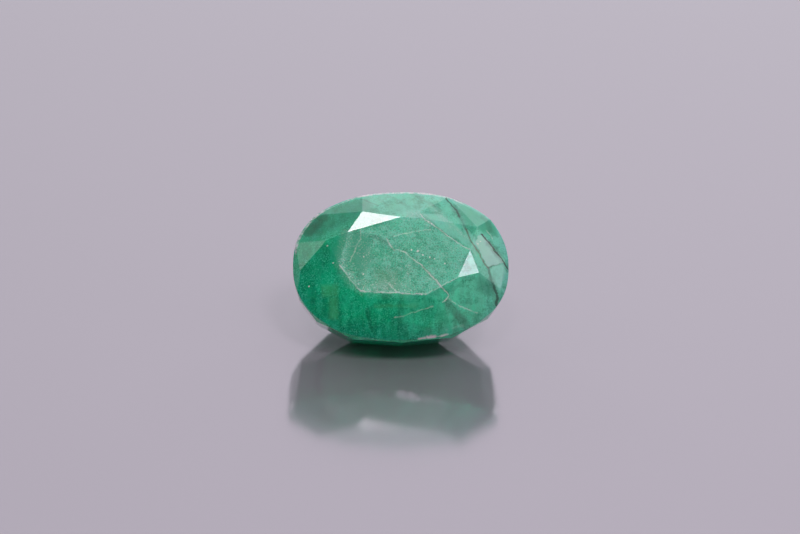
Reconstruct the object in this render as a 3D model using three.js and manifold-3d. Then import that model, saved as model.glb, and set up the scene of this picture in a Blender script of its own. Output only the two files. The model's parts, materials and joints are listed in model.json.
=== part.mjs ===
// An oval faceted emerald, lying as a loose cut stone lies: on one of its pavilion facets,
// so that the table leans forward. Millimetres and degrees, +Z up, the surface at Z = 0.
//
// The stone is cut in its own frame first: table towards +Z, length along X, and the
// girdle's upper edge at Z = 0. Every facet is one flat cut, as a cutter's lap makes it.
import * as THREE from 'three';
import { mergeVertices } from 'three/addons/utils/BufferGeometryUtils.js';
import Module from 'manifold-3d';

// Outline of the girdle: an oval with slightly full corners
const LENGTH = 14.0;
const WIDTH = 10.15;
const OUTLINE_POWER = 2.3; // 2 is a plain ellipse, and a larger power fills the corners
const OUTLINE_STEPS = 160;
const GIRDLE_THICKNESS = 0.3;

// Crown: a table of eight uneven sides, eight stars, eight mains and sixteen upper girdle
// facets. The cut is hand-made and uneven, so each table corner has its own place.
const CROWN_HEIGHT = 1.2;
const STAR_TIP_HEIGHT = 0.95;
const TABLE_CORNERS = [ // x and y of each corner, counter-clockwise from the right-hand end
  [4.42, 0.52], [1.3, 2.82], [0.02, 2.9], [-3.44, 1.92],
  [-4.03, -0.33], [-2.68, -2.14], [1.43, -2.43], [3.57, -1.3],
];
// Where the main under each corner meets the girdle, as an angle about the stone's axis
const MAIN_ANGLES = [0, 55, 85, 146.5, 186, 218, 280, 327.5];
// A narrow steep flat thins the crown's edge at each end
const END_FLAT_AZIMUTHS = [181, 350];
const END_FLAT_ANGLE = 45;
const END_FLAT_REACH = 6.75; // from the axis, level with the girdle's upper edge

// Pavilion: a steep belly of sixteen facets, eight mains, and eight shallow culet facets. The
// belly's facets are given for a quarter of the oval, as the turn of each from the long side,
// and the mains at the ends of the oval are further out than those at its sides.
const BELLY_TURNS = [5, 28, 54, 75];
const BELLY_ANGLE = { ends: 82, sides: 76 };
const PAVILION_MAINS = 8;
const MAIN_ANGLE = { ends: 50, sides: 44.3 };
const MAIN_DISTANCE = { ends: 7, sides: 5.7 }; // from the middle of the girdle's upper edge
const CULET_ANGLE = 20;
const CULET_DEPTH = 7.2;

// The stone rests on the main that faces this way
const REST_AZIMUTH = 267;

const ROUGH_SPARE = 1; // what is ground off above the table and below the culet
const EMERALD_GREEN = 0x3c9173;
const POLISH_ROUGHNESS = 0.08;
const MERGE_DISTANCE = 1e-5;
const UP = new THREE.Vector3(0, 0, 1);
const degrees = THREE.MathUtils.degToRad;

// A point of the girdle's outline, at an angle about the stone's axis
function outlinePoint(angle, z = 0) {
  const c = Math.cos(angle);
  const s = Math.sin(angle);
  const reach = (
    Math.abs((2 * c) / LENGTH) ** OUTLINE_POWER + Math.abs((2 * s) / WIDTH) ** OUTLINE_POWER
  ) ** (-1 / OUTLINE_POWER);
  return new THREE.Vector3(reach * c, reach * s, z);
}

// The outline's own normal there, level with the girdle
function outlineNormal(angle) {
  const p = outlinePoint(angle);
  const slope = (v, size) => Math.sign(v) * Math.abs((2 * v) / size) ** (OUTLINE_POWER - 1) / size;
  return new THREE.Vector3(slope(p.x, LENGTH), slope(p.y, WIDTH), 0).normalize();
}

// How far the outline reaches in a level direction
function outlineReach(direction) {
  let reach = 0;
  for (let i = 0; i < OUTLINE_STEPS; i++) {
    reach = Math.max(reach, outlinePoint((i / OUTLINE_STEPS) * 2 * Math.PI).dot(direction));
  }
  return reach;
}

// The one point that lies on three planes
function meet(a, b, c) {
  const bc = b.normal.clone().cross(c.normal);
  const ca = c.normal.clone().cross(a.normal);
  const ab = a.normal.clone().cross(b.normal);
  return bc.multiplyScalar(-a.constant)
    .addScaledVector(ca, -b.constant)
    .addScaledVector(ab, -c.constant)
    .divideScalar(a.normal.dot(b.normal.clone().cross(c.normal)));
}

// A plane through three points, facing away from the stone's middle
function facetThrough(a, b, c) {
  const plane = new THREE.Plane().setFromCoplanarPoints(a, b, c);
  return plane.constant > 0 ? plane.negate() : plane;
}

// The level direction that an azimuth names
function levelDirection(azimuth) {
  return new THREE.Vector3(Math.cos(degrees(azimuth)), Math.sin(degrees(azimuth)), 0);
}

// The normal of a facet that faces an azimuth and down, at an angle from the girdle's plane
function downwardNormal(azimuth, angle) {
  const normal = levelDirection(azimuth).multiplyScalar(Math.sin(degrees(angle)));
  return normal.setZ(-Math.cos(degrees(angle)));
}

// A flat across the crown's edge, which faces an azimuth and up
function endFlat(azimuth) {
  const normal = downwardNormal(azimuth, END_FLAT_ANGLE);
  normal.z = -normal.z;
  const edge = levelDirection(azimuth).multiplyScalar(END_FLAT_REACH);
  return new THREE.Plane(normal, -normal.dot(edge));
}

// The crown's facets, each placed by the points where its neighbours meet it
function crownFacets() {
  const corners = TABLE_CORNERS.map(([x, y]) => new THREE.Vector3(x, y, CROWN_HEIGHT));
  const mains = corners.map((corner, i) => {
    const foot = outlinePoint(degrees(MAIN_ANGLES[i]));
    const outward = outlineNormal(degrees(MAIN_ANGLES[i]));
    const along = new THREE.Vector3(-outward.y, outward.x, 0);
    return facetThrough(corner, foot, foot.clone().add(along));
  });
  const tipLevel = new THREE.Plane(UP, -STAR_TIP_HEIGHT);
  const facets = [new THREE.Plane(UP, -CROWN_HEIGHT), ...mains];
  facets.push(...END_FLAT_AZIMUTHS.map(endFlat));
  corners.forEach((corner, i) => {
    const next = (i + 1) % corners.length;
    const tip = meet(mains[i], mains[next], tipLevel);
    facets.push(facetThrough(corner, corners[next], tip));
    const turn = (MAIN_ANGLES[next] - MAIN_ANGLES[i] + 360) % 360;
    const from = outlinePoint(degrees(MAIN_ANGLES[i]));
    const middle = outlinePoint(degrees(MAIN_ANGLES[i] + turn / 2));
    const to = outlinePoint(degrees(MAIN_ANGLES[next]));
    facets.push(facetThrough(tip, from, middle), facetThrough(tip, middle, to));
  });
  return facets;
}

// A value that changes smoothly from the oval's ends to its long sides
function aroundOval({ ends, sides }, azimuth) {
  return THREE.MathUtils.lerp(ends, sides, Math.sin(degrees(azimuth)) ** 2);
}

// A steep facet under the girdle. It starts from the girdle's lower edge.
function bellyFacet(azimuth) {
  const normal = downwardNormal(azimuth, aroundOval(BELLY_ANGLE, azimuth));
  const outward = levelDirection(azimuth);
  const edge = outward.clone().multiplyScalar(outlineReach(outward)).setZ(-GIRDLE_THICKNESS);
  return new THREE.Plane(normal, -normal.dot(edge));
}

// The belly's facets, in pairs about the middle of each long side
function bellyFacets() {
  const longSides = [90, 270];
  return longSides.flatMap((side) => BELLY_TURNS.flatMap((turn) => (
    [bellyFacet(side - turn), bellyFacet(side + turn)]
  )));
}

// A large facet of the pavilion. It lies at its own distance from the stone's middle.
function pavilionMain(azimuth) {
  const normal = downwardNormal(azimuth, aroundOval(MAIN_ANGLE, azimuth));
  return new THREE.Plane(normal, -aroundOval(MAIN_DISTANCE, azimuth));
}

// One of the shallow facets that meet at the culet
function culetFacet(azimuth) {
  const normal = downwardNormal(azimuth, CULET_ANGLE);
  return new THREE.Plane(normal, CULET_DEPTH * normal.z);
}

// The mains and the culet facets below them, from the one that the stone rests on
function pavilionFacets() {
  const azimuths = Array.from({ length: PAVILION_MAINS }, (_, i) => (
    REST_AZIMUTH + (i / PAVILION_MAINS) * 360
  ));
  return [...azimuths.map(pavilionMain), ...azimuths.map(culetFacet)];
}

// The rough that the facets are ground from: an oval prism with the girdle's outline
function roughPrism() {
  const outline = Array.from({ length: OUTLINE_STEPS }, (_, i) => {
    const p = outlinePoint((i / OUTLINE_STEPS) * 2 * Math.PI);
    return new THREE.Vector2(p.x, p.y);
  });
  const depth = CROWN_HEIGHT + CULET_DEPTH + 2 * ROUGH_SPARE;
  const prism = new THREE.ExtrudeGeometry(new THREE.Shape(outline), { depth, bevelEnabled: false });
  return prism.translate(0, 0, -CULET_DEPTH - ROUGH_SPARE);
}

// A closed three.js geometry as a solid that can be cut
function toSolid(wasm, geometry) {
  const bare = geometry.clone();
  bare.deleteAttribute('normal');
  bare.deleteAttribute('uv');
  const merged = mergeVertices(bare, MERGE_DISTANCE);
  return new wasm.Manifold(new wasm.Mesh({
    numProp: 3,
    vertProperties: merged.attributes.position.array,
    triVerts: new Uint32Array(merged.index.array),
  }));
}

// A cut solid as flat-shaded three.js geometry
function toGeometry(solid) {
  const mesh = solid.getMesh();
  const geometry = new THREE.BufferGeometry();
  geometry.setAttribute('position', new THREE.BufferAttribute(mesh.vertProperties, 3));
  geometry.setIndex(new THREE.BufferAttribute(mesh.triVerts, 1));
  const flat = geometry.toNonIndexed();
  flat.computeVertexNormals();
  return flat;
}

// Grinds every facet in turn, taking away what lies in front of its plane
function cutStone(wasm) {
  let stone = toSolid(wasm, roughPrism());
  for (const { normal, constant } of [...crownFacets(), ...bellyFacets(), ...pavilionFacets()]) {
    stone = stone.trimByPlane(normal.clone().negate().toArray(), constant);
  }
  return toGeometry(stone);
}

// Lays the stone on its resting main, with its length along X, and centres its box on the
// origin
function layDown(stone) {
  stone.quaternion.setFromUnitVectors(pavilionMain(REST_AZIMUTH).normal, UP.clone().negate());
  const length = new THREE.Vector3(1, 0, 0).applyQuaternion(stone.quaternion);
  const turn = new THREE.Quaternion().setFromAxisAngle(UP, -Math.atan2(length.y, length.x));
  stone.quaternion.premultiply(turn);
  const middle = new THREE.Box3().setFromObject(stone, true).getCenter(new THREE.Vector3());
  stone.position.set(-middle.x, -middle.y, aroundOval(MAIN_DISTANCE, REST_AZIMUTH));
  return stone;
}

const wasm = await Module();
wasm.setup();

const emerald = new THREE.Mesh(
  cutStone(wasm),
  new THREE.MeshStandardMaterial({
    color: EMERALD_GREEN,
    roughness: POLISH_ROUGHNESS,
    metalness: 0,
  }),
);
emerald.name = 'emerald';

const part = new THREE.Group();
part.add(layDown(emerald));

export default part;
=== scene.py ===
"""The looks of an oval faceted emerald: a cloudy green cut stone with veins and worn facet edges.

Metres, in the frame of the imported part: +Z up, the stone lying on the surface at Z = 0.
"""
import json
import math

import bmesh
import bpy
from mathutils import Matrix, Vector
from mathutils.bvhtree import BVHTree


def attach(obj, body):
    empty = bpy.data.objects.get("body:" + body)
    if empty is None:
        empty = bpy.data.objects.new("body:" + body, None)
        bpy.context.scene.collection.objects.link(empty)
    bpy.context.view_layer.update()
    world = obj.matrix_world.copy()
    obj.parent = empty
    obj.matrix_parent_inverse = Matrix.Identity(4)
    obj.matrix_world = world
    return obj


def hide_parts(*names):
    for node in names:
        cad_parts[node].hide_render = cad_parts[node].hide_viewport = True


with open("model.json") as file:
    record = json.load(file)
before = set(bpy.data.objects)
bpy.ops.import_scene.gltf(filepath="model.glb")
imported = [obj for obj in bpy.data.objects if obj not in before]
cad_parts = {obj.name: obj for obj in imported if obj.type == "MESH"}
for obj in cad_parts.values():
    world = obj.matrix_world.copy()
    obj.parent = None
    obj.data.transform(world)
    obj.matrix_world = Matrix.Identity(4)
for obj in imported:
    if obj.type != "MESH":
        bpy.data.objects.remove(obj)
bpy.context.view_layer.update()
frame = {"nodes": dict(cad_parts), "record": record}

MM = 0.001
FLOOR_HALF_SIZE = 1.0  # metres

# Worn edges between the facets
EDGE_WIDTH = 0.028 * MM
MERGE_DISTANCE = 0.002 * MM
FLAT_WITHIN = math.radians(0.4)  # triangles that meet at less are one facet
EDGE_FROM = math.radians(6)  # facets that meet at more have a worn edge
SMOOTH_UP_TO = math.radians(10)
GIRDLE_FACE_AREA = 0.3 * MM * MM  # the girdle's own faces are smaller
# The back girdle edge's strong whitening is partly a painted highlight of the light from behind
EDGE_WEAR, BACK_EDGE_WEAR_AND_HIGHLIGHT = 0.15, 0.9

# The stone's own frame: table towards z, length along x, the girdle's upper edge at z = 0.
# The stone's sizes are in millimetres, and as the CAD source has them.
GIRDLE_CENTRE = Vector((-0.0238, -1.0868, 5.7036)) * MM
LENGTH, WIDTH, OUTLINE_POWER = 14.0, 10.15, 2.3
CROWN_HEIGHT, GIRDLE_THICKNESS = 1.2, 0.3

# Camera, as the photo was taken. The angles are those of the view from the stone.
AZIMUTH, ELEVATION, ROLL = -4.6, 26.0, 3.0
DISTANCE = 189.9 * MM
LENS_MM, SENSOR_MM = 131.85, 36
SHIFT_X, SHIFT_Y = -0.0014, -0.0021
PHOTO_WIDTH, PHOTO_HEIGHT = 800, 534  # in pixels


def direction(azimuth, elevation):
    """Towards an azimuth, counted from -Y towards +X, and an elevation."""
    a, e = math.radians(azimuth), math.radians(elevation)
    return Vector((math.sin(a) * math.cos(e), -math.cos(a) * math.cos(e), math.sin(e)))


def stone_axes():
    """The stone's x, y and z axes in the part's frame, from where the table faces."""
    table = next(m for m in frame["record"]["mounts"] if m["name"] == "table")
    z = Vector(table["axis"]).normalized()
    x = Vector((z.z, 0, -z.x)).normalized()
    return x, z.cross(x), z


X_AXIS, Y_AXIS, Z_AXIS = stone_axes()
STONE_TURN = Matrix((X_AXIS, Y_AXIS, Z_AXIS)).transposed()


def camera_turn():
    """The camera's right, up and back directions, as the columns of a matrix."""
    back = direction(AZIMUTH, ELEVATION)
    level = Vector((math.cos(math.radians(AZIMUTH)), math.sin(math.radians(AZIMUTH)), 0))
    up = back.cross(level)
    c, s = math.cos(math.radians(ROLL)), math.sin(math.radians(ROLL))
    return Matrix((level * c + up * s, up * c - level * s, back)).transposed()


CAMERA_TURN = camera_turn()
CAMERA_PLACE = GIRDLE_CENTRE + direction(AZIMUTH, ELEVATION) * DISTANCE


def stone_surface():
    """The CAD stone's surface, to cast rays onto."""
    mesh = frame["nodes"]["emerald"].data
    return BVHTree.FromPolygons([v.co for v in mesh.vertices], [p.vertices for p in mesh.polygons])


SURFACE = stone_surface()


def seen_at(*pixels):
    """Where the camera sees the stone at pixels of the photo, each counted from its top left
    corner: x and y in the stone's own frame, in millimetres."""
    places = []
    for across, down in pixels:
        x = (across - PHOTO_WIDTH / 2) / PHOTO_WIDTH + SHIFT_X
        y = (PHOTO_HEIGHT / 2 - down) / PHOTO_WIDTH + SHIFT_Y
        ray = CAMERA_TURN @ Vector((x * SENSOR_MM, y * SENSOR_MM, -LENS_MM)).normalized()
        place = (SURFACE.ray_cast(CAMERA_PLACE, ray)[0] - GIRDLE_CENTRE) / MM
        places.append((place.dot(X_AXIS), place.dot(Y_AXIS)))
    return places


# Colours of the body, and of its streaks, mottling, veil and grain
DEEP_GREEN = (0.0, 0.49, 0.24, 1)
PALE_GREEN = (0.18, 0.78, 0.55, 1)
LIGHT_STREAK = (0.04, 0.86, 0.50, 1)
DARK_STREAK = (0.0, 0.24, 0.12, 1)
DARK_MOTTLE = (0.0, 0.29, 0.15, 1)
PALE_VEIL = (0.24, 0.78, 0.57, 1)
LIGHT_GRAIN = (0.12, 0.88, 0.60, 1)
DARK_GRAIN = (0.0, 0.19, 0.10, 1)

# Colours of the marks. The glints are painted highlights; the yellow, pale, rim and worn paints
# are partly painted reflections and highlights.
GREY_PAINT = (0.52, 0.86, 0.74, 1)
PALE_AND_REFLECTION_PAINT = (0.36, 0.88, 0.70, 1)
DEEP_PAINT = (0.0, 0.26, 0.15, 1)
MIDDLE_PAINT = (0.02, 0.46, 0.26, 1)
YELLOW_AND_REFLECTION_PAINT = (0.14, 0.50, 0.20, 1)
BROWN_PAINT = (0.25, 0.38, 0.24, 1)
VEIN_PAINT = (0.0, 0.02, 0.012, 1)
CRACK_PAINT = (0.14, 0.13, 0.08, 1)
HAZE_PAINT = (0.38, 0.66, 0.54, 1)
DUST_PAINT = (0.75, 0.88, 0.80, 1)
WHITE_PAINT = (0.96, 0.96, 0.92, 1)
GLINT_PAINT = (1.0, 1.0, 1.0, 1)
RIM_AND_HIGHLIGHT_PAINT = (0.96, 0.95, 0.93, 1)
WORN_AND_HIGHLIGHT_PAINT = (0.80, 0.90, 0.85, 1)

# How fine the patterns are: the scale of each one's noise, per millimetre
BENDING_SCALE = 2.2
CLOUD_SCALE = 0.45
MOTTLE_SCALE = 1.3
COARSE_SCALE = 1.5
VEIL_SCALE = 1.9
BREAK_SCALE = 3.0
WEAR_SCALE = 5.0
RAGGED_SCALE = 6.0
GRAIN_SCALE = 10.0
SPECKLE_SCALE = 13.0
STREAK_SCALES = (2.6, 0.6, 0.6)  # across and along the streaks

BENDING = 0.24  # how far the patterns and marks wander, in millimetres
RAGGEDNESS = 0.14  # of the marks' borders, in millimetres

# Soft boxes: name, azimuth, elevation, distance and size in metres, radiance and colour
LIGHT_COLOR = (1, 0.94, 1)
SOFT_BOXES = [
    ("overhead", -85, 85, 0.5, (0.12, 0.12), 11, (1, 0.88, 0.96)),
    ("front_right", 41, 49, 0.5, (0.09, 0.09), 6.5, (0.92, 0.84, 1)),
    ("key", 20, 55, 0.5, (0.09, 0.09), 37, LIGHT_COLOR),
    ("fill", -15, 53, 0.5, (0.07, 0.07), 30, LIGHT_COLOR),
    ("left", -84, 40, 0.6, (0.16, 0.24), 1.0, LIGHT_COLOR),
    ("right", 77, 37, 0.6, (0.20, 0.20), 0.8, LIGHT_COLOR),
    ("behind", 175, 55, 0.6, (0.16, 0.16), 0.8, LIGHT_COLOR),
    ("behind_left", -142, 22, 0.5, (0.12, 0.12), 5, LIGHT_COLOR),
    ("behind_right", 138, 18, 0.5, (0.12, 0.12), 3.5, LIGHT_COLOR),
    ("front", 3, 65, 0.6, (0.2, 0.2), 0.45, LIGHT_COLOR),
]
SKY_COLOR = (0.95, 0.95, 1.0, 1)
SKY_BRIGHT_TOWARDS = (0.20, 0.85, 0.47)
SKY_DARK_TOWARDS = direction(-30, 28)
FLOOR_COLOR = (0.36, 0.327, 0.368, 1)


class Nodes:
    """Adds nodes to a tree. An input is a number, a tuple or another node's output."""

    def __init__(self, tree):
        self.tree = tree
        tree.nodes.clear()

    def add(self, kind, inputs=(), output=0, **settings):
        node = self.tree.nodes.new(kind)
        for name, value in settings.items():
            setattr(node, name, value)
        pairs = inputs.items() if isinstance(inputs, dict) else enumerate(inputs)
        for key, value in pairs:
            if isinstance(value, bpy.types.NodeSocket):
                self.tree.links.new(value, node.inputs[key])
            elif value is not None:
                node.inputs[key].default_value = value
        return node.outputs[output]

    def math(self, operation, *inputs):
        return self.add("ShaderNodeMath", inputs, operation=operation)

    def vector(self, operation, *inputs, output=0):
        return self.add("ShaderNodeVectorMath", inputs, output, operation=operation)

    def scaled(self, vector, factor):
        inputs = {"Vector": vector, "Scale": factor}
        return self.add("ShaderNodeVectorMath", inputs, operation="SCALE")

    def noise(self, vector, scale, detail=3, roughness=0.55, output="Fac"):
        inputs = {"Vector": vector, "Scale": scale, "Detail": detail, "Roughness": roughness}
        return self.add("ShaderNodeTexNoise", inputs, output)

    def steps(self, value, low, high, to_low=0.0, to_high=1.0):
        """A smooth step from to_low, at low, to to_high, at high."""
        inputs = {0: value, 1: low, 2: high, 3: to_low, 4: to_high}
        return self.add("ShaderNodeMapRange", inputs, interpolation_type="SMOOTHSTEP")

    def mix(self, factor, a, b):
        return self.add("ShaderNodeMix", {0: factor, 6: a, 7: b}, 2, data_type="RGBA")


# Marks that the photo shows, each followed along a few of its pixels
LONG_VEIN = seen_at((446, 198), (452, 206), (457, 211), (460, 217), (463, 224), (466, 229))
BROWN_CRACK = seen_at((466, 229), (470, 240), (478, 251), (484, 263), (488, 268))
LOWER_VEIN = seen_at((488, 268), (491, 280), (494, 286), (496.5, 293), (497.5, 299), (496, 305))
THICK_VEIN = seen_at((482, 235), (489, 243), (500, 257), (505, 264), (508, 269))
CROSS_VEIN = seen_at((488, 268), (494, 266), (500, 264))
LOWER_BAND = seen_at((447, 303), (463, 321), (468, 328))
UPPER_RIGHT_SHADE = seen_at((483, 217), (488, 222), (490, 230))
TABLE_FLECKS = seen_at((372, 236), (378, 238), (388, 244))
LOWER_LEFT_STROKE = seen_at((367, 310), (372, 330))
CRACK_START = seen_at((386, 238), (391, 246), (394, 249.5))
CRACK_MIDDLE = seen_at((394, 249.5), (400, 250), (405, 252.5), (411, 257), (421, 265))
CRACK_LOWER = seen_at((421, 265), (430, 274), (439, 284), (447, 293))
CRACK_END = seen_at((447, 293), (448.5, 296), (446, 300), (442.5, 303))
TOP_CRACK = seen_at((394, 235.5), (410, 232.5), (431, 229))
RIDGE_CRACK = seen_at((420, 214), (425, 219), (434, 225.5), (441, 230), (448, 236))
RIDGE_CRACK_END = seen_at((448, 236), (458, 243), (470, 250))
RIDGE_HAZE = seen_at((433, 208), (445, 219), (452, 226), (468, 239))
CURVED_CRACK = seen_at((361, 230), (360, 239), (356, 248), (350, 262))
LOW_CRACK = seen_at((395, 318), (412, 313), (433, 306))
SHORT_CRACK = seen_at((449, 299), (456, 304))
RIGHT_CRACK = seen_at((458, 305), (464, 308), (470, 310), (477, 313))
TABLE_SCRATCH = seen_at((388, 283), (393, 288), (398, 293))
RIGHT_STREAK = seen_at((486, 230), (493, 239))
GLINT_PLACES = seen_at((419, 339), (425, 339), (428, 338), (435, 338), (441.5, 336), (447, 335))
DULL_GLINT = seen_at((447, 329), (463, 325))
LARGE_CHIPS = seen_at((411, 250), (418, 251), (363, 274))
SMALL_CHIPS = seen_at(
    (423, 255), (430, 257.5), (435, 258.5), (445, 263), (333, 263), (309, 287), (327, 246)
)
GREY_PATCH = seen_at(
    (478, 236), (483, 236), (492, 247), (504, 262), (494, 266), (488, 267), (483, 258), (476, 244)
)
RIGHT_END_PATCH = seen_at((490, 270), (494, 266), (505, 264), (506, 272), (500, 292), (494, 284))
LEFT_OF_CRACK = seen_at((462, 225), (470, 232), (476, 240), (477, 258), (468, 247))
BELOW_CRACK = seen_at((479, 274), (494, 286), (492, 297), (477, 289))
# A yellowish T at the lower left: a painted reflection of facets at the back, seen through the
# stone
YELLOW_REFLECTION_BAR = seen_at((322, 285), (338, 285), (338, 297), (322, 297))
YELLOW_REFLECTION_LEG = seen_at((329, 297), (338, 297), (338, 319), (329, 319))
YELLOW_LINE = seen_at((375, 305), (417, 305), (417, 307), (375, 307))
BROWN_SQUARE = seen_at((375, 270), (398, 270), (398, 290), (375, 290))

# The marks by colour. Each path has a half width in millimetres and a strength. Soft ones, and
# those along the table's edge, have places in millimetres in the stone's own frame.
DARK_VEINS = [
    (0.05, 0.85, LONG_VEIN[:4]),
    (0.09, 0.45, LONG_VEIN[2:]),
    (0.22, 0.22, LONG_VEIN[1:5]),
    (0.065, 0.95, THICK_VEIN[:3]),
    (0.055, 0.95, THICK_VEIN[2:]),
    (0.22, 0.3, THICK_VEIN[1:]),
    (0.09, 0.6, LOWER_VEIN[:3]),
    (0.09, 0.8, LOWER_VEIN[2:]),
    (0.24, 0.25, LOWER_VEIN[1:]),
    (0.06, 0.55, CROSS_VEIN[:2]),
    (0.04, 0.3, CROSS_VEIN[1:]),
    (0.26, 0.4, LOWER_BAND),
    (0.2, 0.28, UPPER_RIGHT_SHADE),
    (0.12, 0.32, TABLE_FLECKS),
    (0.12, 0.3, LOWER_LEFT_STROKE),
    (0.05, 0.35, [(-2.5, 4.6), (-1.4, 3.9)]),
    (0.1, 0.22, [(-0.7, 4.8), (0.6, 3.8)]),
    (0.13, 0.22, [(1.2, 4.7), (2.7, 3.5)]),
    (0.35, 0.4, [(-6, 2.3), (-5, 3.3)]),
]
BROWN_CRACKS = [
    (0.05, 0.8, BROWN_CRACK),
    (0.065, 0.45, CRACK_LOWER),
    (0.06, 0.45, RIDGE_CRACK[1:]),
    (0.045, 0.35, CRACK_START),
]
WHITE_CRACKS = [
    (0.035, 0.75, CRACK_START),
    (0.035, 0.75, CRACK_MIDDLE),
    (0.035, 0.8, CRACK_LOWER),
    (0.035, 0.8, CRACK_END),
    (0.03, 0.6, TOP_CRACK),
    (0.035, 0.8, RIDGE_CRACK),
    (0.035, 0.8, RIDGE_CRACK_END),
    (0.035, 0.4, CURVED_CRACK),
    (0.03, 0.5, LOW_CRACK),
    (0.03, 0.45, SHORT_CRACK),
    (0.035, 0.5, RIGHT_CRACK),
    (0.04, 0.75, [(-4.03, -0.33), (-3.4, -1.3), (-2.68, -2.14), (1.43, -2.43)]),
    (0.03, 0.5, [(1.43, -2.43), (3.57, -1.3)]),
    (0.04, 0.55, TABLE_SCRATCH),
    (0.03, 0.6, RIGHT_STREAK),
]
GIRDLE_GLINTS = [
    (0.07, 0.9, GLINT_PLACES[0:2]),
    (0.09, 1, GLINT_PLACES[2:4]),
    (0.08, 1, GLINT_PLACES[4:6]),
    (0.03, 0.45, GLINT_PLACES[1:5]),
    (0.08, 0.22, DULL_GLINT),
]
HAZY_BANDS = [
    (0.22, 0.6, RIDGE_HAZE[:3]),
    (0.14, 0.55, RIDGE_HAZE[2:]),
    (0.3, 0.6, [(0.6, 3.05), (1.3, 3.05), (1.9, 2.55)]),
    (0.28, 0.5, [(-3.55, 1.8), (-3.85, 0.8), (-4, -0.3), (-3.6, -1)]),
    (0.3, 0.6, [(-3.6, -1), (-3.2, -1.5), (-2.6, -2)]),
    (0.45, 0.55, [(-2.4, -1.8), (0.2, -2.05)]),
    (0.2, 0.3, [(-2.2, 0.6), (-2.45, -1)]),
    (0.2, 0.4, [(0.45, -0.6), (0.1, -2.1)]),
]
CHIPS = [  # radius, places
    (0.075, LARGE_CHIPS + [(1.2, -2.45), (1.8, 2.55), (2, 2.4)]),
    (0.055, SMALL_CHIPS + [(5.15, 1.25), (5, 1.05), (-2.45, 0.2), (2.15, 2.3), (-0.5, -2.1)]),
]
# Patches between the cracks, as convex outlines. The last pale patch and the yellow T are painted
# reflections.
GREY_PATCHES = [GREY_PATCH]
PALE_PATCHES_AND_REFLECTION = [
    RIGHT_END_PATCH,
    LEFT_OF_CRACK,
    # A painted reflection of the sky, lightening the facets beside the table at the upper right
    [(1.4, 3.2), (2.6, 3.2), (3.6, 2.3), (4.2, 1.5), (4.3, 0.8), (2.8, 1.85)],
]
DEEP_PATCHES = [
    BELOW_CRACK,
    [(-6.4, 2.2), (-5, 4), (-2, 4.6), (-1.9, 3.6), (-4.3, 2.3), (-5.4, 1.8)],
]
MIDDLE_PATCHES = [
    [(3.8, 4.1), (4.5, 4.2), (6.3, 2.7), (6.4, 2), (5.4, 1.9), (4.2, 2.5)],
    [(-3.2, 1.7), (-2.1, 1.8), (-1.9, 0), (-2.6, -1.2), (-3.6, 0.2)],
    [(-3.3, 2.6), (-2.4, 2.4), (-3.4, 1.9), (-4.05, -0.3), (-4.6, 0.5), (-4.2, 1.8)],
]
# The yellow T among these patches is a painted reflection of facets at the back
YELLOW_PATCHES_AND_REFLECTIONS = [YELLOW_REFLECTION_BAR, YELLOW_REFLECTION_LEG, YELLOW_LINE]
BROWN_HAZE = [BROWN_SQUARE]


def flat_point(pair):
    return Vector((*pair, 0))


def near_path(n, place, points):
    """The distance from a place to the nearest of a path's segments."""
    nearest = None
    for start, end in zip(points, points[1:]):
        run = flat_point(end) - flat_point(start)
        from_start = n.vector("SUBTRACT", place, flat_point(start))
        along = n.vector("DOT_PRODUCT", from_start, run / run.length_squared, output=1)
        foot = n.scaled(run, n.add("ShaderNodeClamp", (along, 0.0, 1.0)))
        apart = n.vector("DISTANCE", from_start, foot, output=1)
        nearest = apart if nearest is None else n.math("MINIMUM", nearest, apart)
    return nearest


def drawn_paths(n, place, ragged, paths, core=0.0):
    """How strongly any of the paths marks a place, from 0 to 1. The core is the part of a
    path's half width that is drawn at full strength."""
    total = 0.0
    for half_width, strength, points in paths:
        apart = n.math("ADD", near_path(n, place, points), ragged)
        mark = n.steps(apart, half_width * core, half_width * (2.0 - core), strength, 0.0)
        total = n.math("MAXIMUM", total, mark)
    return total


def dotted(n, place, dots):
    total = 0.0
    for radius, centres in dots:
        for centre in centres:
            apart = n.vector("DISTANCE", place, flat_point(centre), output=1)
            total = n.math("MAXIMUM", total, n.steps(apart, radius * 0.5, radius, 1.0, 0.0))
    return total


def inside_any(n, place, outlines, softness):
    """One inside any of some convex outlines, and zero outside them all."""
    total = 0.0
    for outline in outlines:
        corners = [flat_point(corner) for corner in outline]
        middle = sum(corners, Vector((0, 0, 0))) / len(corners)
        depth = None
        for a, b in zip(corners, corners[1:] + corners[:1]):
            inward = Vector((a.y - b.y, b.x - a.x, 0)).normalized()
            if inward.dot(middle - a) < 0:
                inward.negate()
            reach = n.vector("DOT_PRODUCT", place, inward, output=1)
            from_edge = n.math("SUBTRACT", reach, inward.dot(a))
            depth = from_edge if depth is None else n.math("MINIMUM", depth, from_edge)
        total = n.math("MAXIMUM", total, n.steps(depth, -softness, softness))
    return total


# Patches with the strength and the colour of each kind, and how soft their borders are
PATCHES = [
    (GREY_PATCHES, 0.80, GREY_PAINT, 0.05),
    (PALE_PATCHES_AND_REFLECTION, 0.55, PALE_AND_REFLECTION_PAINT, 0.08),
    (DEEP_PATCHES, 0.55, DEEP_PAINT, 0.25),
    (MIDDLE_PATCHES, 0.80, MIDDLE_PAINT, 0.25),
    (YELLOW_PATCHES_AND_REFLECTIONS, 0.35, YELLOW_AND_REFLECTION_PAINT, 0.18),
    (BROWN_HAZE, 0.30, BROWN_PAINT, 0.35),
]


def stone_place(n):
    """The place on the stone, in millimetres in the stone's own frame."""
    inputs = {
        "Vector": n.add("ShaderNodeTexCoord", output="Object"),
        "Location": GIRDLE_CENTRE,
        "Rotation": STONE_TURN.to_euler(),
        "Scale": (MM, MM, MM),
    }
    return n.add("ShaderNodeMapping", inputs, vector_type="TEXTURE")


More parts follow.
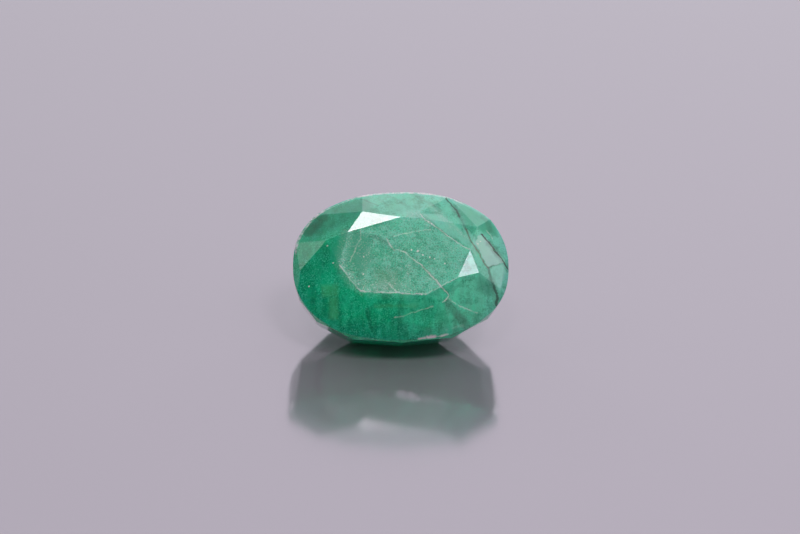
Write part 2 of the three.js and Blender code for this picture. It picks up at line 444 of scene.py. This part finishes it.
def body_color(n, place, bent, on_table):
    """The body's green: deep at the lower left, paler towards the upper right."""
    drift = n.vector("DOT_PRODUCT", place, (0.085, 0.055, 0.0), output=1)
    haze = n.steps(n.math("ADD", drift, n.noise(place, CLOUD_SCALE, 5)), 0.05, 1.15)
    color = n.mix(haze, DEEP_GREEN, PALE_GREEN)
    along_y = n.add("ShaderNodeSeparateXYZ", (place,), 1)
    streaks = n.noise(n.vector("MULTIPLY", bent, STREAK_SCALES), 1.0, 3)
    streaky = n.steps(along_y, -2.6, -0.8, 0.75, 0.3)
    light = n.math("MULTIPLY", n.steps(streaks, 0.45, 0.70, 0.0, 0.6), streaky)
    color = n.mix(light, color, LIGHT_STREAK)
    dark = n.math("MULTIPLY", n.steps(streaks, 0.30, 0.52, 0.6, 0.0), streaky)
    color = n.mix(dark, color, DARK_STREAK)
    mottle = n.noise(bent, MOTTLE_SCALE, 5, 0.65)
    color = n.mix(n.steps(mottle, 0.36, 0.54, 0.62, 0.0), color, DARK_MOTTLE)
    veil = n.steps(n.noise(bent, VEIL_SCALE, 5, 0.75), 0.44, 0.60, 0.0, 0.85)
    color = n.mix(n.math("MULTIPLY", veil, on_table), color, PALE_VEIL)
    grain = n.noise(place, GRAIN_SCALE, 4, 0.75)
    coarse = n.steps(n.noise(place, COARSE_SCALE, 3), 0.35, 0.65, 0.35, 1.0)
    coarse = n.math("MAXIMUM", coarse, n.math("MULTIPLY", on_table, 1.35))
    light = n.math("MULTIPLY", n.steps(grain, 0.49, 0.66, 0.0, 0.70), coarse)
    color = n.mix(light, color, LIGHT_GRAIN)
    dark = n.math("MULTIPLY", n.steps(grain, 0.34, 0.50, 0.65, 0.0), coarse)
    return n.mix(dark, color, DARK_GRAIN)


def with_marks(n, color, place, bent, height, on_table):
    """The colour with patches, veins, cracks, haze and chips on the crown, and painted glints
    below. The yellow T and one pale patch are painted reflections.
    """
    flat = n.vector("MULTIPLY", bent, (1, 1, 0))
    on_crown = n.steps(height, -GIRDLE_THICKNESS - 0.05, -GIRDLE_THICKNESS + 0.05)

    def painted(color, mask, paint):
        return n.mix(n.math("MULTIPLY", mask, on_crown), color, paint)

    for outlines, strength, paint, softness in PATCHES:
        mask = n.math("MULTIPLY", inside_any(n, flat, outlines, softness), strength)
        color = painted(color, mask, paint)

    ragged = n.noise(place, RAGGED_SCALE, 4, 0.7)
    ragged = n.math("MULTIPLY_ADD", ragged, RAGGEDNESS, -RAGGEDNESS / 2)
    color = painted(color, drawn_paths(n, flat, ragged, DARK_VEINS, core=0.5), VEIN_PAINT)
    color = painted(color, drawn_paths(n, flat, ragged, BROWN_CRACKS), CRACK_PAINT)
    hazes = drawn_paths(n, flat, ragged, HAZY_BANDS)
    speckle = n.steps(n.noise(place, SPECKLE_SCALE, 2), 0.54, 0.70)
    dusty = n.math("MULTIPLY_ADD", on_table, 0.35, n.math("MULTIPLY", hazes, 0.9))
    color = painted(color, n.math("MULTIPLY", hazes, 0.45), HAZE_PAINT)
    color = painted(color, n.math("MULTIPLY", dusty, speckle), DUST_PAINT)
    broken = n.steps(n.noise(bent, BREAK_SCALE, 5, 0.75), 0.38, 0.56, 0.20, 1.0)
    cracks = n.math("MULTIPLY", drawn_paths(n, flat, ragged, WHITE_CRACKS), broken)
    color = painted(color, n.math("MAXIMUM", cracks, dotted(n, flat, CHIPS)), WHITE_PAINT)
    glints = drawn_paths(n, n.vector("MULTIPLY", bent, (1, 1, 0.7)), ragged, GIRDLE_GLINTS)
    return n.mix(glints, color, GLINT_PAINT)


def with_chipped_rim_and_highlight(n, color, place, bent, height):
    """The colour with a broken white line along the girdle's upper edge, at the back: chipped
    frosting, and a painted highlight where the light from behind catches it.
    """
    reach_x = n.math("ABSOLUTE", n.vector("DOT_PRODUCT", place, (2 / LENGTH, 0, 0), output=1))
    reach_y = n.math("ABSOLUTE", n.vector("DOT_PRODUCT", place, (0, 2 / WIDTH, 0), output=1))
    reach = n.math(
        "ADD", n.math("POWER", reach_x, OUTLINE_POWER), n.math("POWER", reach_y, OUTLINE_POWER)
    )
    rim = n.math("MULTIPLY", n.steps(reach, 0.935, 0.960), n.steps(height, -0.11, -0.04))
    chipped = n.steps(n.noise(bent, BREAK_SCALE, 5, 0.75), 0.42, 0.60, 0.10, 0.9)
    at_back = n.steps(n.vector("DOT_PRODUCT", place, (-0.25, 1, 0), output=1), 2.0, 3.2)
    rim = n.math("MULTIPLY", n.math("MULTIPLY", rim, chipped), at_back)
    return n.mix(rim, color, RIM_AND_HIGHLIGHT_PAINT)


def with_worn_and_lit_edges(n, color, place):
    # Pale worn edges; at the back of the girdle they are also a painted highlight from the light
    # behind
    worn = n.add("ShaderNodeAttribute", output="Fac", attribute_name="worn")
    patchy = n.steps(n.noise(place, WEAR_SCALE, 3), 0.35, 0.60, 0.3, 1.0)
    return n.mix(n.math("MULTIPLY", worn, patchy), color, WORN_AND_HIGHLIGHT_PAINT)


def stone_material():
    """Cloudy see-through green under a polish."""
    material = bpy.data.materials.new("emerald")
    material.use_nodes = True
    n = Nodes(material.node_tree)
    place = stone_place(n)
    wobble = n.noise(place, BENDING_SCALE, 4, output="Color")
    wobble = n.vector("SUBTRACT", wobble, (0.5, 0.5, 0.5))
    bent = n.vector("MULTIPLY_ADD", wobble, (BENDING, BENDING, BENDING), place)
    height = n.add("ShaderNodeSeparateXYZ", (place,), 2)
    on_table = n.steps(height, CROWN_HEIGHT - 0.03, CROWN_HEIGHT - 0.01)
    color = body_color(n, place, bent, on_table)
    color = with_marks(n, color, place, bent, height, on_table)
    color = with_chipped_rim_and_highlight(n, color, place, bent, height)
    color = with_worn_and_lit_edges(n, color, place)

    shader = n.tree.nodes.new("ShaderNodeBsdfPrincipled")
    n.tree.links.new(color, shader.inputs["Base Color"])
    shader.inputs["Transmission Weight"].default_value = 0.5
    shader.inputs["Subsurface Weight"].default_value = 1.0
    shader.inputs["Subsurface Radius"].default_value = (0.4, 1.0, 0.7)
    shader.inputs["Subsurface Scale"].default_value = 2.5 * MM
    shader.inputs["Specular IOR Level"].default_value = 0.0
    shader.inputs["IOR"].default_value = 1.577
    shader.inputs["Roughness"].default_value = 0.12
    shader.inputs["Coat Weight"].default_value = 1.0
    shader.inputs["Coat IOR"].default_value = 1.577
    shader.inputs["Coat Roughness"].default_value = 0.02
    inside = n.add(
        "ShaderNodeVolumeAbsorption", {"Color": (0.08, 0.91, 0.83, 1), "Density": 650.0}
    )
    out = n.tree.nodes.new("ShaderNodeOutputMaterial")
    n.tree.links.new(shader.outputs[0], out.inputs["Surface"])
    n.tree.links.new(inside, out.inputs["Volume"])
    return material


def wear_and_highlight(face):
    """How worn a bevelled edge is: the girdle's upper edge at the back is chipped white, which is
    also a painted highlight where the light from behind catches it.
    """
    centre = face.calc_center_median() - GIRDLE_CENTRE
    on_girdle = abs(centre.dot(Z_AXIS)) < 0.06 * MM
    at_back = centre.dot(Y_AXIS) > 2.0 * MM
    return BACK_EDGE_WEAR_AND_HIGHLIGHT if on_girdle and at_back else EDGE_WEAR


def cut_stone():
    """The stone's facets, each one polygon, with worn edges between them."""
    source = frame["nodes"]["emerald"]
    form = bmesh.new()
    form.from_mesh(source.data)
    bmesh.ops.remove_doubles(form, verts=form.verts, dist=MERGE_DISTANCE)
    bmesh.ops.dissolve_limit(form, angle_limit=FLAT_WITHIN, verts=form.verts, edges=form.edges)
    layer = form.faces.layers.float.new("worn")
    sharp = [e for e in form.edges if e.is_manifold and e.calc_face_angle() > EDGE_FROM]
    bevel = bmesh.ops.bevel(
        form, geom=sharp, offset=EDGE_WIDTH, segments=1, affect="EDGES", clamp_overlap=True
    )
    for face in bevel["faces"]:
        face[layer] = wear_and_highlight(face)
    mesh = bpy.data.meshes.new("emerald_stone")
    form.to_mesh(mesh)
    form.free()
    # The CAD mesh's own normals and smooth facets would bend what the flat facets mirror
    mesh.attributes.remove(mesh.attributes["custom_normal"])
    mesh.set_sharp_from_angle(angle=SMOOTH_UP_TO)
    for face in mesh.polygons:
        upright = abs(face.normal.dot(Z_AXIS)) < 0.02
        face.use_smooth = upright and face.area < GIRDLE_FACE_AREA
    stone = bpy.data.objects.new("emerald_stone", mesh)
    bpy.context.collection.objects.link(stone)
    mesh.materials.append(stone_material())
    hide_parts("emerald")
    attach(stone, "root")
    return stone


def make_camera():
    data = bpy.data.cameras.new("camera")
    data.lens = LENS_MM
    data.sensor_width = SENSOR_MM
    data.shift_x, data.shift_y = SHIFT_X, SHIFT_Y
    data.clip_start, data.clip_end = 1 * MM, 10
    camera = bpy.data.objects.new("camera", data)
    bpy.context.collection.objects.link(camera)
    camera.matrix_world = Matrix.Translation(CAMERA_PLACE) @ CAMERA_TURN.to_4x4()
    bpy.context.scene.camera = camera


def soft_box(name, azimuth, elevation, distance, size, radiance, color):
    """A square area light that faces the stone. Its radiance is what a mirror would show."""
    data = bpy.data.lights.new(name, "AREA")
    data.shape = "RECTANGLE"
    data.size, data.size_y = size
    data.color = color
    data.energy = radiance * math.pi * size[0] * size[1]
    light = bpy.data.objects.new(name, data)
    bpy.context.collection.objects.link(light)
    away = direction(azimuth, elevation)
    light.location = GIRDLE_CENTRE + away * distance
    light.rotation_euler = away.to_track_quat("Z", "Y").to_euler()
    return light


def make_sky():
    """A dim sky, brighter behind the stone, and dark where its front facets would mirror it."""
    world = bpy.data.worlds.new("studio")
    world.use_nodes = True
    n = Nodes(world.node_tree)
    towards = n.add("ShaderNodeTexCoord", output="Generated")
    lift = n.vector("DOT_PRODUCT", towards, SKY_BRIGHT_TOWARDS, output=1)
    glow = n.steps(lift, 0.65, 1.05, 0.45, 1.35)
    flag = n.vector("DOT_PRODUCT", towards, SKY_DARK_TOWARDS, output=1)
    strength = n.math("MULTIPLY", glow, n.steps(flag, 0.60, 0.85, 1.0, 0.12))
    sky = n.add("ShaderNodeBackground", {"Color": SKY_COLOR, "Strength": strength})
    out = n.tree.nodes.new("ShaderNodeOutputWorld")
    n.tree.links.new(sky, out.inputs["Surface"])
    bpy.context.scene.world = world


def make_lights(stone):
    boxes = {name: soft_box(name, *rest) for name, *rest in SOFT_BOXES}

    # The floor would mirror this one as a white pool in views from above
    stone_only = bpy.data.collections.new("stone_only")
    stone_only.objects.link(stone)
    boxes["overhead"].light_linking.receiver_collection = stone_only


def make_floor():
    mesh = bpy.data.meshes.new("floor")
    half = FLOOR_HALF_SIZE
    corners = [(-half, -half, 0), (half, -half, 0), (half, half, 0), (-half, half, 0)]
    mesh.from_pydata(corners, [], [(0, 1, 2, 3)])
    floor = bpy.data.objects.new("floor", mesh)
    bpy.context.collection.objects.link(floor)
    material = bpy.data.materials.new("floor")
    material.use_nodes = True
    shader = material.node_tree.nodes["Principled BSDF"]
    shader.inputs["Base Color"].default_value = FLOOR_COLOR
    shader.inputs["Metallic"].default_value = 0.6
    shader.inputs["Roughness"].default_value = 0.12
    mesh.materials.append(material)


make_camera()
make_sky()
make_lights(cut_stone())
make_floor()

bpy.context.scene.view_settings.view_transform = "Standard"
